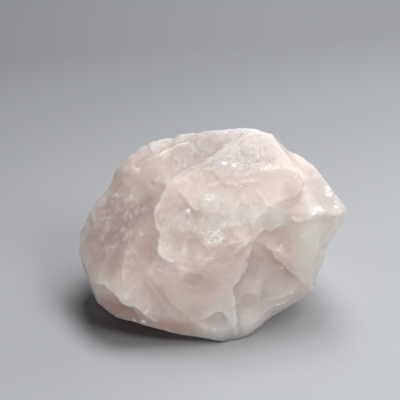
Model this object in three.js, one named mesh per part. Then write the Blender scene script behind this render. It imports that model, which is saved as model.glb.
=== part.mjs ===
// A rough lump of morganite, the pink beryl, broken from a larger crystal.
// Millimetres. +X is the stone's right, +Y its back, +Z up; it rests on z = 0.
//
// The lump is what two masses grown together leave after blows have knocked wedges, bowls
// and small chips out of them. Its surface is one closed ball of points, each pushed out
// along its own ray from a core line until the ray leaves the stone.

import * as THREE from 'three';
import { ConvexGeometry } from 'three/addons/geometries/ConvexGeometry.js';
import { mergeVertices } from 'three/addons/utils/BufferGeometryUtils.js';
import { ImprovedNoise } from 'three/addons/math/ImprovedNoise.js';

// Driving dimensions.
const HEART = new THREE.Vector3(-1, -0.5, 14); // middle of the core line
const CORE = 17; // half the core line's length, along X
const SPREAD = new THREE.Vector3(14, 18, 17); // how widely the rays fan out
const RAYS = 21; // icosahedron detail: 20 * (RAYS + 1)^2 triangles
const SWELL = 0.4; // unevenness of each broken face
const SWELL_LENGTH = 9; // size of one swell
const SWELL_SHIFT = 3; // how far apart two faces' swells are taken
const RIDGE_ANGLE = 9; // degrees between two faces whose ridge is kept sharp
const RIDGE_HALVINGS = 7; // how often the search for a ridge halves its step
const FLAT_FOOT = -0.99; // a face whose normal's Z is below this is the foot, and stays flat
const WELD = 1e-5; // points of the unit ball nearer than this are one

// Corners of the large left mass.
const BODY_CORNERS = [
  // crest along the back, left to right
  [-16.5, 16.5, 28], [-9, 16.5, 31.2], [-3, 15, 32.8], [3, 14, 34],
  [8.5, 13.5, 35], [13, 12, 34], [17, 11, 30],
  // rounded top, falling to the front
  [2, 6.5, 33.1], [11, 6.5, 33.3], [1, 1.6, 31.4], [10, 2, 31.8], [15.5, 1, 31],
  [0.5, -2.4, 28.8], [9.5, -2.4, 29], [2, -6, 25.4], [11, -6.2, 25.8], [4.5, -10.5, 20.4],
  // right edge of the top
  [18.5, 1, 31], [19.5, -2, 29], [14, -7, 22.6], [6.5, -10.5, 19.4],
  // shoulder over the left flank
  [-9, -1, 30], [-10, -1.5, 28.5], [-13, -4.5, 23], [-11.4, -11.1, 18.2],
  // left flank
  [-20.5, 15.5, 24.5], [-22.5, 14, 23.5], [-26.5, 9.5, 18], [-29, 4.5, 14],
  [-31.5, 2, 11], [-30.1, -1.6, 10.5], [-26.4, -11.6, 11],
  // low front
  [-23.4, -13.6, 11], [-20, -16.4, 9.8], [-17.2, -17.3, 8], [-11.8, -15.8, 12.2], [-7, -17.1, 7.8],
  [4.5, -12.9, 11.2],
  // lip that hangs over the ground at the left
  [-25.4, -12.7, 5.6], [-23.8, -15.3, 5.4], [-21.9, -16.8, 5.3], [-19.1, -18.4, 5.1], [-15.7, -18.3, 4.6],
  [-11.4, -19.1, 3.6], [-5, -19.7, 1.9],
  // foot
  [4, -19, 0], [9, -15, 0], [13, 6, 0], [6, 13, 0], [-10, 13, 0], [-19, 6, 0], [-15, -4, 0], [-4, -12, 0],
  // back
  [-22, 17, 19], [-10, 20, 15], [5, 19, 16], [14, 16, 18],
];

// Corners of the paler mass on the right.
const RIGHT_CORNERS = [
  // top, under the body's right edge
  [12, 11.5, 30], [18, 11.5, 29.5], [18, 1, 29.6], [19.5, -2, 27.6],
  // outer edge, down to the tip and below it
  [21, 9, 29], [23.5, 6, 28], [26, 2.5, 25], [29, -0.5, 23],
  [29.5, -1, 22], [28.5, -3, 20], [26, -4.5, 18], [25, -6, 16],
  // front: shelf, face, and the thin ledge at its foot
  [22, -6.5, 25], [18.5, -6.5, 23], [14, -6.5, 22], [12, -8, 18], [18.5, -10, 11],
  [22.5, -8, 8], [22.5, -7.5, 5], [21, -8, 3.5], [17.5, -10, 2.5], [11.5, -13, 1],
  // foot and back
  [9, -15, 0], [4, -12, 0], [13, 11, 0], [18, -4, 1], [24, 12, 17], [19.5, 13, 7], [26, 4, 12],
  [16.5, 15, 19], [9, 17, 10], [-8, 14.5, 8], [7, 13.4, 0.4], [-6, 12, 0.5],
  // root inside the large mass
  [-6, 0, 4], [-6, 0, 24],
];

// A blow takes a bowl out of the stone: `floor` is the bowl's deepest point, `azimuth`
// and `rise` give the way it looks, and `radius` is the ball that it is part of. The
// ball is `long` times as long along one axis, which is level until `turn` tips it.
const BLOWS = [
  { name: 'undercut', floor: [-19.8, -15.5, 6.9], azimuth: -120, rise: -4, radius: 5, long: 3.2, turn: -16 },
  { name: 'front scoop', floor: [-5.9, -6.9, 23.2], azimuth: -93, rise: 38, radius: 40, long: 1.3, turn: 20 },
  { name: 'inner scoop', floor: [-9.1, -9.9, 19.0], azimuth: -81, rise: 38, radius: 14, long: 1.1, turn: 30 },
  { name: 'sliver', floor: [-13.3, -8.7, 19.4], azimuth: -116, rise: 37, radius: 7, long: 2.6, turn: 80 },
  { name: 'back scoop', floor: [-3, 17.1, 22], azimuth: 92, rise: 14, radius: 22, long: 1.6, turn: 12 },
  { name: 'back foot', floor: [-4, 15, 8.5], azimuth: 96, rise: -14, radius: 20, long: 1.2, turn: -14 },
  { name: 'back left', floor: [-13.8, 15.3, 11], azimuth: 118, rise: -16, radius: 17, long: 1.6, turn: 35 },
  { name: 'right end', floor: [25.2, 2.5, 14], azimuth: 8, rise: -18, radius: 16, long: 1.2, turn: 30 },
  { name: 'left end', floor: [-26.8, 3.4, 7.6], azimuth: 168, rise: -22, radius: 10, long: 1.8, turn: 8 },
];

// A cut is a wedge that broke away: the stone keeps nothing that lies beyond all its
// faces. Each face is a point on it, then the azimuth and rise of the way it looks.
const CUTS = [
  {
    name: 'cove',
    faces: [
      [11.6, -10.8, 11.8, -72, 23],
      [8.5, -9.4, 19.2, -61, -5],
      [6.4, -12.0, 13.4, -35, -2],
      [14.2, -9.1, 14.0, -101, -6],
    ],
  },
  { name: 'high step', faces: [[-13.2, -16.7, 8.7, -86, 27], [-11.9, -15.4, 9.2, -125, -0]] },
  { name: 'low step', faces: [[-8.0, -17.5, 6.7, -78, 28], [-7.7, -16.6, 6.7, -124, -13]] },
  {
    name: 'toe',
    faces: [
      [0.6, -17.2, 4.7, -76, 29],
      [-0.4, -17.1, 5.7, -70, -8],
      [2.4, -16.8, 4.9, -131, -8],
    ],
  },
  {
    name: 'pan',
    faces: [
      [-7.0, 5.6, 30.3, -168, 76],
      [-3.4, 3.9, 30.7, 141, 41],
      [-5.6, 10.6, 31.2, -154, 71],
    ],
  },
  {
    name: 'shelf',
    faces: [
      [23.2, -6.0, 19.3, -55, 14],
      [25.4, -3.7, 21.8, -57, -5],
      [21.0, -5.8, 21.9, -11, -2],
    ],
  },
];

// Small chips that are scattered over the faces which no bowl has cleared.
const CHIPS = 36;
const CHIP_RADII = [4, 9]; // least and greatest
const CHIP_DEPTHS = [0.08, 0.22];
const CHIP_LONGEST = 1.8; // how many times as long as wide a chip may be
const CHIP_FREE_FOOT = 2.5; // height under which the lump stays unchipped
const CHIP_SEED = 5;

const perlin = new ImprovedNoise();

/** The unit vector that looks towards azimuth (from +X, anticlockwise) and rise, in degrees. */
function direction(azimuth, rise) {
  const a = THREE.MathUtils.degToRad(azimuth);
  const r = THREE.MathUtils.degToRad(rise);
  return new THREE.Vector3(Math.cos(a) * Math.cos(r), Math.sin(a) * Math.cos(r), Math.sin(r));
}

/** How far a broken face swells at a point; faces that look different ways swell apart. */
function swell(point, normal) {
  const p = point.clone().divideScalar(SWELL_LENGTH).addScaledVector(normal, SWELL_SHIFT);
  return SWELL * perlin.noise(p.x, p.y, p.z);
}

/** The faces of a hull, as planes. */
function facesOf(corners) {
  const hull = new ConvexGeometry(corners.map((c) => new THREE.Vector3(...c)));
  const at = hull.getAttribute('position');
  const planes = [];
  for (let i = 0; i < at.count; i += 3) {
    const [a, b, c] = [0, 1, 2].map((k) => new THREE.Vector3().fromBufferAttribute(at, i + k));
    planes.push(new THREE.Plane().setFromCoplanarPoints(a, b, c));
  }
  return planes;
}

/** The ray of the fan that a point of the unit ball stands for. */
function rayThrough(point) {
  const from = HEART.clone();
  from.x += CORE * point.x;
  return new THREE.Ray(from, point.clone().multiply(SPREAD).normalize());
}

/** Where a ray leaves a mass. */
function leaveMass(planes, ray) {
  let best = { reach: Infinity };
  for (const plane of planes) {
    const slope = plane.normal.dot(ray.direction);
    if (slope <= 0) continue;
    const depth = -plane.distanceToPoint(ray.origin);
    if (depth < 0) return { reach: 0, normal: plane.normal, face: plane };
    const flat = ray.at(depth / slope, new THREE.Vector3());
    const uneven = plane.normal.z < FLAT_FOOT ? 0 : swell(flat, plane.normal);
    const reach = (depth + uneven) / slope;
    if (reach < best.reach) best = { reach, normal: plane.normal, face: plane };
  }
  return best;
}

/** A blow as a round ball: `shrink` maps the stone's space to the space where it is round. */
function bowlOf({ floor, azimuth, rise, radius, long, turn }) {
  const look = direction(azimuth, rise);
  const axis = direction(azimuth + 90, 0).applyAxisAngle(look, THREE.MathUtils.degToRad(turn));
  const middle = new THREE.Vector3(...floor).addScaledVector(look, radius);
  const shrink = (v) => v.addScaledVector(axis, v.dot(axis) * (1 / long - 1));
  return { look, middle, radius, shrink };
}

/** Where a ray enters a bowl, if it does. */
function enterBowl(bowl, ray) {
  const way = bowl.shrink(ray.direction.clone());
  const toMiddle = bowl.shrink(bowl.middle.clone().sub(ray.origin));
  const speed = way.length();
  const near = toMiddle.dot(way) / speed;
  const enter = (radius) => (near - Math.sqrt(near * near - toMiddle.lengthSq() + radius * radius)) / speed;
  const first = enter(bowl.radius);
  if (!(near > 0 && first > 0)) return { reach: Infinity };
  const reach = enter(bowl.radius + swell(ray.at(first, new THREE.Vector3()), bowl.look));
  if (!(reach > 0)) return { reach: Infinity };
  const normal = bowl.shrink(bowl.shrink(bowl.middle.clone().sub(ray.at(reach, new THREE.Vector3()))));
  return { reach, normal: normal.normalize(), face: bowl };
}

/** A cut's faces, as planes that look out of the stone. */
function wedgeOf({ faces }) {
  return faces.map(([x, y, z, azimuth, rise]) => (
    new THREE.Plane().setFromNormalAndCoplanarPoint(direction(azimuth, rise), new THREE.Vector3(x, y, z))
  ));
}

/** Where a ray enters a wedge, if it does. */
function enterWedge(wedge, ray) {
  let best = { reach: 0 };
  let leave = Infinity;
  for (const face of wedge) {
    const slope = face.normal.dot(ray.direction);
    const flat = -face.distanceToPoint(ray.origin) / slope;
    if (slope <= 0) {
      leave = Math.min(leave, flat);
    } else {
      const reach = flat + swell(ray.at(flat, new THREE.Vector3()), face.normal) / slope;
      if (reach > best.reach) best = { reach, normal: face.normal, face };
    }
  }
  return best.face && best.reach < leave ? best : { reach: Infinity };
}

const body = facesOf(BODY_CORNERS);
const right = facesOf(RIGHT_CORNERS);
const wedges = CUTS.map(wedgeOf);
const bowls = BLOWS.map(bowlOf);

/** Where the stone's surface stands along the ray through a point of the unit ball. */
function surfaceAlong(point) {
  const ray = rayThrough(point);
  const [a, b] = [leaveMass(body, ray), leaveMass(right, ray)];
  let hit = a.reach > b.reach ? a : b;
  const entries = [...wedges.map((w) => enterWedge(w, ray)), ...bowls.map((b) => enterBowl(b, ray))];
  for (const entry of entries) {
    if (entry.reach < hit.reach) hit = entry;
  }
  return { ...hit, at: ray.at(hit.reach, new THREE.Vector3()) };
}

/** A number between two bounds, from a fixed seed. */
function pick(low, high) {
  return THREE.MathUtils.lerp(low, high, THREE.MathUtils.seededRandom());
}

/** Knocks the chips out of the faces that are still broken flat, one after another. */
function scatterChips() {
  THREE.MathUtils.seededRandom(CHIP_SEED);
  while (bowls.length < BLOWS.length + CHIPS) {
    const ball = direction(pick(0, 360), THREE.MathUtils.radToDeg(Math.asin(pick(-1, 1))));
    const { at, normal, face } = surfaceAlong(ball);
    const azimuth = THREE.MathUtils.radToDeg(Math.atan2(normal.y, normal.x));
    const rise = THREE.MathUtils.radToDeg(Math.asin(normal.z));
    const floor = at.addScaledVector(normal, -pick(...CHIP_DEPTHS)).toArray();
    const radius = pick(...CHIP_RADII);
    const long = pick(1, CHIP_LONGEST);
    const turn = pick(0, 180);
    if (at.z < CHIP_FREE_FOOT || bowls.includes(face)) continue;
    bowls.push(bowlOf({ floor, azimuth, rise, radius, long, turn }));
  }
}

/** True where a sharp ridge runs between two hits. */
function ridgeBetween(a, b) {
  return a.face !== b.face && a.normal.angleTo(b.normal) > THREE.MathUtils.degToRad(RIDGE_ANGLE);
}

/** The point of the unit ball a share of the way from one to another. */
function between(a, b, share) {
  return a.clone().lerp(b, share).normalize();
}

/** The share of the way from a to b where the ridge between them runs. */
function ridgeShare(a, b) {
  let [low, high] = [0, 1];
  const from = surfaceAlong(a);
  for (let i = 0; i < RIDGE_HALVINGS; i += 1) {
    const half = (low + high) / 2;
    if (ridgeBetween(from, surfaceAlong(between(a, b, half)))) high = half;
    else low = half;
  }
  return (low + high) / 2;
}

/** The stone's surface: a ball whose points beside a ridge are moved onto it. */
function stoneGeometry() {
  const ball = new THREE.IcosahedronGeometry(1, RAYS);
  ball.deleteAttribute('normal');
  ball.deleteAttribute('uv');
  const geometry = mergeVertices(ball, WELD);
  const at = geometry.getAttribute('position');
  const points = [];
  for (let i = 0; i < at.count; i += 1) {
    points.push(new THREE.Vector3().fromBufferAttribute(at, i));
  }
  const hits = points.map(surfaceAlong);
  const moves = new Map();
  const index = geometry.index.array;
  for (let i = 0; i < index.length; i += 1) {
    const a = index[i];
    const b = index[i % 3 === 2 ? i - 2 : i + 1];
    if (a > b || !ridgeBetween(hits[a], hits[b])) continue;
    const share = ridgeShare(points[a], points[b]);
    const [mover, amount] = share < 0.5 ? [a, share] : [b, 1 - share];
    if (!moves.has(mover) || moves.get(mover).amount > amount) {
      moves.set(mover, { amount, point: between(points[a], points[b], share) });
    }
  }
  moves.forEach(({ point }, mover) => { points[mover] = point; });
  points.forEach((point, i) => at.setXYZ(i, ...surfaceAlong(point).at));
  return geometry;
}

scatterChips();
const crystal = new THREE.Mesh(
  stoneGeometry(),
  new THREE.MeshStandardMaterial({ color: 0xdccac2, roughness: 0.35, metalness: 0 }),
);
crystal.name = 'crystal';

const part = new THREE.Group();
part.add(crystal);
export default part;
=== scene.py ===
"""Looks of a rough morganite crystal: one broken, milky pink stone on a pale studio floor."""

import logging
import math
from dataclasses import dataclass, field

import bmesh
import bpy
import numpy as np
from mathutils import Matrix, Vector


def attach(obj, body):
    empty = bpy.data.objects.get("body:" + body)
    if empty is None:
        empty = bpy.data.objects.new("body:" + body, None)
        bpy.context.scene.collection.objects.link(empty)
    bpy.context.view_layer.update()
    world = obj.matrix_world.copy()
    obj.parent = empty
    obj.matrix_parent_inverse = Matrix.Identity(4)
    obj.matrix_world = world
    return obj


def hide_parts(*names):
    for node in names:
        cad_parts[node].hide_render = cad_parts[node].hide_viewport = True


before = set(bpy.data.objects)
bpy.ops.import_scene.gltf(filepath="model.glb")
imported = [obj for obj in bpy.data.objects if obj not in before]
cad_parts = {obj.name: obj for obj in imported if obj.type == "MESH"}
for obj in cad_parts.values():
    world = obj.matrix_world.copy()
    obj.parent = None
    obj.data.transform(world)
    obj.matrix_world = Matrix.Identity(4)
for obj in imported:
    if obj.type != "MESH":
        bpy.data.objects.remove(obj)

LOG = logging.getLogger("morganite")
NODE = "crystal"
MM = 0.001
Point = tuple[float, float, float]


class Tree:
    """A node tree with short calls to add and join nodes."""

    def __init__(self, tree: bpy.types.NodeTree) -> None:
        """Keeps the tree that the calls add to."""
        self.tree = tree

    def add(self, kind: str, **settings: object) -> bpy.types.Node:
        """Adds a node.

        Args:
            kind: The node's type name.
            settings: Values for the node's own properties.

        Returns:
            The new node.
        """
        node = self.tree.nodes.new(kind)
        for name, value in settings.items():
            setattr(node, name, value)
        return node

    def join(self, source: bpy.types.NodeSocket, target: bpy.types.NodeSocket) -> None:
        """Joins an output to an input."""
        self.tree.links.new(source, target)

    def feed(self, socket: bpy.types.NodeSocket, value: object) -> None:
        """Sets an input to a value, or joins an output to it."""
        if isinstance(value, bpy.types.NodeSocket):
            self.join(value, socket)
        else:
            socket.default_value = value

    def math(self, operation: str, a: object, b: object = 0.0, c: object = 0.0) -> bpy.types.NodeSocket:
        """Adds a sum on numbers.

        Args:
            operation: The Math node's operation.
            a: First number or output.
            b: Second number or output.
            c: Third number or output.

        Returns:
            The result's output.
        """
        node = self.add("ShaderNodeMath", operation=operation)
        for socket, value in zip(node.inputs, (a, b, c)):
            self.feed(socket, value)
        return node.outputs[0]

    def vector(self, operation: str, a: object, b: object = (0.0, 0.0, 0.0)) -> bpy.types.Node:
        """Adds a sum on vectors.

        Args:
            operation: The Vector Math node's operation.
            a: First vector or output.
            b: Second vector or output.

        Returns:
            The node.
        """
        node = self.add("ShaderNodeVectorMath", operation=operation)
        self.feed(node.inputs[0], a)
        self.feed(node.inputs[1], b)
        return node

    def scaled(self, vector: object, amount: object) -> bpy.types.NodeSocket:
        """Scales a vector by a number."""
        node = self.add("ShaderNodeVectorMath", operation="SCALE")
        self.feed(node.inputs[0], vector)
        self.feed(node.inputs["Scale"], amount)
        return node.outputs[0]

    def noise(self, place: object, scale: float, detail: float = 2.0, roughness: float = 0.5,
              bend: float = 0.0) -> bpy.types.Node:
        """Adds a noise.

        Args:
            place: Where it is read.
            scale: Lumps in a metre.
            detail: How many finer layers it has.
            roughness: How strong the finer layers are.
            bend: How far it is bent by itself.

        Returns:
            The node.
        """
        node = self.add("ShaderNodeTexNoise")
        self.feed(node.inputs["Vector"], place)
        node.inputs["Scale"].default_value = scale
        node.inputs["Detail"].default_value = detail
        node.inputs["Roughness"].default_value = roughness
        node.inputs["Distortion"].default_value = bend
        return node

    def ramp(self, value: object, low: float, high: float, to_low: float = 0.0, to_high: float = 1.0,
             smooth: bool = True) -> bpy.types.NodeSocket:
        """Maps a number from one range to another.

        Args:
            value: The number or output.
            low: Start of the range.
            high: End of the range.
            to_low: Result at the start.
            to_high: Result at the end.
            smooth: Eases the two ends.

        Returns:
            The result's output.
        """
        node = self.add("ShaderNodeMapRange")
        node.interpolation_type = "SMOOTHSTEP" if smooth else "LINEAR"
        for name, number in (("Value", value), ("From Min", low), ("From Max", high),
                             ("To Min", to_low), ("To Max", to_high)):
            self.feed(node.inputs[name], number)
        return node.outputs["Result"]


def blend(tree: Tree, share: object, a: object, b: object) -> bpy.types.NodeSocket:
    """Mixes two colours by a share."""
    node = tree.add("ShaderNodeMix", data_type="RGBA")
    colours = [socket for socket in node.inputs if socket.type == "RGBA"]
    tree.feed(node.inputs["Factor"], share)
    tree.feed(colours[0], a)
    tree.feed(colours[1], b)
    return [socket for socket in node.outputs if socket.type == "RGBA"][0]


def eased(x: np.ndarray) -> np.ndarray:
    """A smooth step from 0 to 1 over 0 to 1."""
    t = np.clip(x, 0.0, 1.0)
    return t * t * (3.0 - 2.0 * t)


@dataclass
class Skin:
    """The points of a mesh in millimetres, with their normals and neighbours."""

    mesh: bpy.types.Mesh

    def __post_init__(self) -> None:
        """Reads the mesh."""
        count = len(self.mesh.vertices)
        self.at = np.empty(count * 3)
        self.mesh.vertices.foreach_get("co", self.at)
        self.at = self.at.reshape(-1, 3) / MM
        self.normal = np.empty(count * 3)
        self.mesh.vertices.foreach_get("normal", self.normal)
        self.normal = self.normal.reshape(-1, 3)
        edges = np.empty(len(self.mesh.edges) * 2, dtype=np.int64)
        self.mesh.edges.foreach_get("vertices", edges)
        self.ends = edges.reshape(-1, 2)
        both = np.concatenate([self.ends[:, 0], self.ends[:, 1]])
        self.degree = np.maximum(np.bincount(both, minlength=count), 1)

    def averaged(self, values: np.ndarray, times: int) -> np.ndarray:
        """Spreads values to the neighbours.

        Args:
            values: One row for each point.
            times: How often the average is taken.

        Returns:
            The spread values.
        """
        a, b = self.ends[:, 0], self.ends[:, 1]
        out = values.reshape(len(self.at), -1).astype(float)
        for _ in range(times):
            total = np.empty_like(out)
            for k in range(out.shape[1]):
                total[:, k] = (np.bincount(a, out[b, k], len(out)) + np.bincount(b, out[a, k], len(out)))
            out = 0.5 * out + 0.5 * total / self.degree[:, None]
        return out.reshape(values.shape)

    def move(self, shift: np.ndarray) -> None:
        """Moves the points by a shift in millimetres along their normals."""
        self.at += self.normal * shift[:, None]

    def write(self) -> None:
        """Writes the points back to the mesh."""
        self.mesh.vertices.foreach_set("co", (self.at * MM).ravel())
        self.mesh.update()

    def store(self, name: str, values: np.ndarray) -> None:
        """Keeps one number for each point as a named attribute."""
        layer = self.mesh.attributes.new(name, "FLOAT", "POINT")
        layer.data.foreach_set("value", values.astype(np.float32))


@dataclass(frozen=True)
class Waves:
    """Uneven waves in space, a sum of sines from a fixed seed."""

    size: float
    seed: int
    count: int = 14
    spread: tuple[float, float] = (0.6, 1.6)

    def at(self, points: np.ndarray) -> np.ndarray:
        """The waves' height at points.

        Args:
            points: Points in millimetres.

        Returns:
            Heights, mostly between -1 and 1.
        """
        rng = np.random.default_rng(self.seed)
        ways = rng.normal(size=(self.count, 3))
        ways /= np.linalg.norm(ways, axis=1)[:, None]
        lengths = self.size * rng.uniform(*self.spread, self.count)
        phases = rng.uniform(0.0, math.tau, self.count)
        return np.sin(points @ (ways / lengths[:, None]).T * math.tau + phases).sum(1) / math.sqrt(self.count)


@dataclass(frozen=True)
class Ledge:
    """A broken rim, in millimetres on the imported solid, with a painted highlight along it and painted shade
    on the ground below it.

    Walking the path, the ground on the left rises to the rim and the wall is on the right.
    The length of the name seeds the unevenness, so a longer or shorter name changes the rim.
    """

    name: str
    path: tuple[Point, ...]
    height: float
    reach: float
    wall: float = 0.5
    sink: float = 0.0
    sink_reach: float = 1.5
    sink_lost_at_wall: float = 0.7
    gleam: float = 0.5
    gleam_width: float = 0.35
    gleam_behind: float = 0.1
    gleam_even: float = 0.75
    gleam_patchy: float = 0.35
    painted_shade: float = 0.4
    painted_shade_reach: float = 2.5
    unevenness: float = 0.35
    uneven_length: float = 4.5
    wobble: float = 0.16
    wobble_length: float = 1.9
    patch_length: float = 3.0
    rise_power: float = 1.6
    wall_power: float = 1.3
    fade: float = 0.2
    tint_fade: float = 0.08
    past_end: float = 1.2
    close_by: float = 1.0
    facing_gain: float = 2.0
    facing_loss: float = 0.2
    spacing: float = 0.35

    def waves(self, length: float, step: int) -> Waves:
        """Uneven waves of a length, seeded by the name."""
        return Waves(length, len(self.name) + step)

    def line(self) -> np.ndarray:
        """The path as closely spaced points, with its corners eased."""
        points = np.array(self.path, dtype=float)
        for _ in range(2):
            cut = np.empty((2 * len(points) - 2, 3))
            cut[0::2] = 0.75 * points[:-1] + 0.25 * points[1:]
            cut[1::2] = 0.25 * points[:-1] + 0.75 * points[1:]
            points = np.vstack([points[:1], cut, points[-1:]])
        run = np.concatenate([[0.0], np.cumsum(np.linalg.norm(np.diff(points, axis=0), axis=1))])
        steps = np.linspace(0.0, run[-1], max(int(run[-1] / self.spacing), 4))
        return np.stack([np.interp(steps, run, points[:, k]) for k in range(3)], axis=1)

    def shift(self, skin: Skin, painted_highlights: np.ndarray, painted_shades: np.ndarray) -> np.ndarray:
        """How far each point moves out; marks the painted highlight along the rim and the painted shade on
        the ground below it.

        Args:
            skin: The points.
            painted_highlights: How strong the painted highlight along a rim is at each point, raised where
                this rim is.
            painted_shades: How strong the painted shade on the ground below a rim is at each point, raised
                where this wall is.

        Returns:
            Millimetres along the normals.
        """
        line = self.line()
        margin = max(self.reach, self.sink_reach, self.painted_shade_reach) + self.close_by
        near = np.all((skin.at > line.min(0) - margin) & (skin.at < line.max(0) + margin), axis=1)
        out = np.zeros(len(skin.at))
        points = skin.at[near]
        gaps = np.linalg.norm(points[:, None, :] - line[None, :, :], axis=2)
        nearest = gaps.argmin(1)
        gap = gaps.min(1)
        look = skin.normal[near][gap < self.close_by].mean(0)
        way = np.gradient(line, axis=0)
        left = np.cross(look, way)
        left /= np.linalg.norm(left, axis=1)[:, None]
        off = points - line[nearest]
        side = (off * left[nearest]).sum(1) + self.wobble * self.waves(self.wobble_length, 0).at(points)
        behind = np.clip(1.0 - side / self.reach, 0.0, 1.0) ** self.rise_power
        down = np.clip(1.0 + side / self.wall, 0.0, 1.0)
        crest = np.where(side > 0.0, behind, down ** self.wall_power)
        uneven = self.waves(self.uneven_length, 3).at(line)[nearest]
        crest *= 1.0 - self.unevenness + self.unevenness * uneven
        before = np.exp(-((side + self.wall) / self.sink_reach) ** 2) * (side < 0.0)
        before = before * (1.0 - self.sink_lost_at_wall * down)
        along = nearest / (len(line) - 1)
        ends = eased(along / self.fade) * eased((1.0 - along) / self.fade)
        past = np.clip(gap - np.abs((off * left[nearest]).sum(1)), 0.0, None)
        ends *= eased(1.0 - past / self.past_end)
        facing = np.clip((skin.normal[near] @ look) * self.facing_gain - self.facing_loss, 0.0, 1.0)
        out[near] = ends * facing * (self.height * crest - self.sink * before)
        patchy = self.gleam_even + self.gleam_patchy * self.waves(self.patch_length, 7).at(points)
        # painted highlight along the rim, in patches
        rim = self.gleam * np.exp(-((side - self.gleam_behind) / self.gleam_width) ** 2) * patchy
        # painted shade on the lower ground in front of the wall, fading over its reach
        dark = self.painted_shade * np.clip(1.0 + side / self.painted_shade_reach, 0.0, 1.0) * (side < 0.0)
        held = eased(1.0 - past / self.past_end) * eased(along / self.tint_fade)
        held = held * eased((1.0 - along) / self.tint_fade) * facing
        painted_highlights[near] = np.maximum(painted_highlights[near], rim * held)
        painted_shades[near] = np.maximum(painted_shades[near], dark * held)
        return out


@dataclass(frozen=True)
class StrayLedges:
    """Broken rims that wander over the back and the flanks, from a fixed seed."""

    count: int = 26
    steps: int = 8
    stride: float = 2.0
    turn: float = 0.55
    heights: tuple[float, float] = (0.2, 0.55)
    reaches: tuple[float, float] = (2.0, 4.5)
    walls: tuple[float, float] = (0.5, 1.2)
    # strengths of the painted highlight along each rim and of the painted shade below it
    gleams: tuple[float, float] = (0.3, 0.8)
    painted_shades: tuple[float, float] = (0.2, 0.6)
    back_from: float = 9.0
    left_end: float = -26.0
    right_end: float = 24.0
    right_end_from: float = 2.0
    lowest: float = 1.5
    fewest_points: int = 4
    seed: int = 21

    def hidden(self, place: np.ndarray) -> bool:
        """Whether a place is on the back or at either end, where no named rim is."""
        at_right = place[1] > self.right_end_from and place[0] > self.right_end
        return place[1] > self.back_from or place[0] < self.left_end or at_right

    def make(self, skin: Skin) -> list[Ledge]:
        """Walks the rims over the ground.

        Args:
            skin: The points to walk on.

        Returns:
            The rims.
        """
        rng = np.random.default_rng(self.seed)
        ledges = []
        while len(ledges) < self.count:
            here = rng.integers(len(skin.at))
            way = rng.normal(size=3)
            path = []
            for _ in range(self.steps):
                place, up = skin.at[here], skin.normal[here]
                if not self.hidden(place) or place[2] < self.lowest:
                    break
                path.append(tuple(place))
                way = way - up * (way @ up) + np.cross(up, way) * rng.normal(0.0, self.turn)
                way /= np.linalg.norm(way)
                here = np.linalg.norm(skin.at - (place + way * self.stride), axis=1).argmin()
            if len(path) >= self.fewest_points:
                ledges.append(Ledge("stray %d" % len(ledges), tuple(path), rng.uniform(*self.heights),
                                    rng.uniform(*self.reaches), rng.uniform(*self.walls),
                                    gleam=rng.uniform(*self.gleams), painted_shade=rng.uniform(*self.painted_shades)))
        return ledges


@dataclass(frozen=True)
class Dent:
    """A shallow hollow, or with a negative depth a swelling."""

    name: str
    middle: Point
    radius: float
    depth: float

    def shift(self, skin: Skin) -> np.ndarray:
        """How far each point moves out, in millimetres."""
        gap = np.linalg.norm(skin.at - np.array(self.middle), axis=1) / self.radius
        return -self.depth * eased(1.0 - gap)


@dataclass(frozen=True)
class Nudge:
    """A soft push of the ground round a point, that gives the outline a notch or a swelling."""

    name: str
    middle: Point
    radius: float
    push: Point

    def shift(self, skin: Skin) -> np.ndarray:
        """How far each point moves, as a vector in millimetres."""
        gap = np.linalg.norm(skin.at - np.array(self.middle), axis=1) / self.radius
        return eased(1.0 - gap)[:, None] * np.array(self.push)


@dataclass(frozen=True)
class Patch:
    """A soft-edged region, round a middle."""

    middle: Point
    radii: Point
    amount: float = 1.0
    steepness: float = 1.6

    def share(self, skin: Skin) -> np.ndarray:
        """How much of each point is in the region, from 0 to 1 times the amount."""
        gap = (skin.at - np.array(self.middle)) / np.array(self.radii)
        return self.amount * eased(self.steepness * (1.0 - np.linalg.norm(gap, axis=1)))


def regions(skin: Skin, patches: tuple[Patch, ...]) -> np.ndarray:
    """The patches' shares, added up and held between 0 and 1."""
    return np.clip(sum(patch.share(skin) for patch in patches), 0.0, 1.0)


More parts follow.
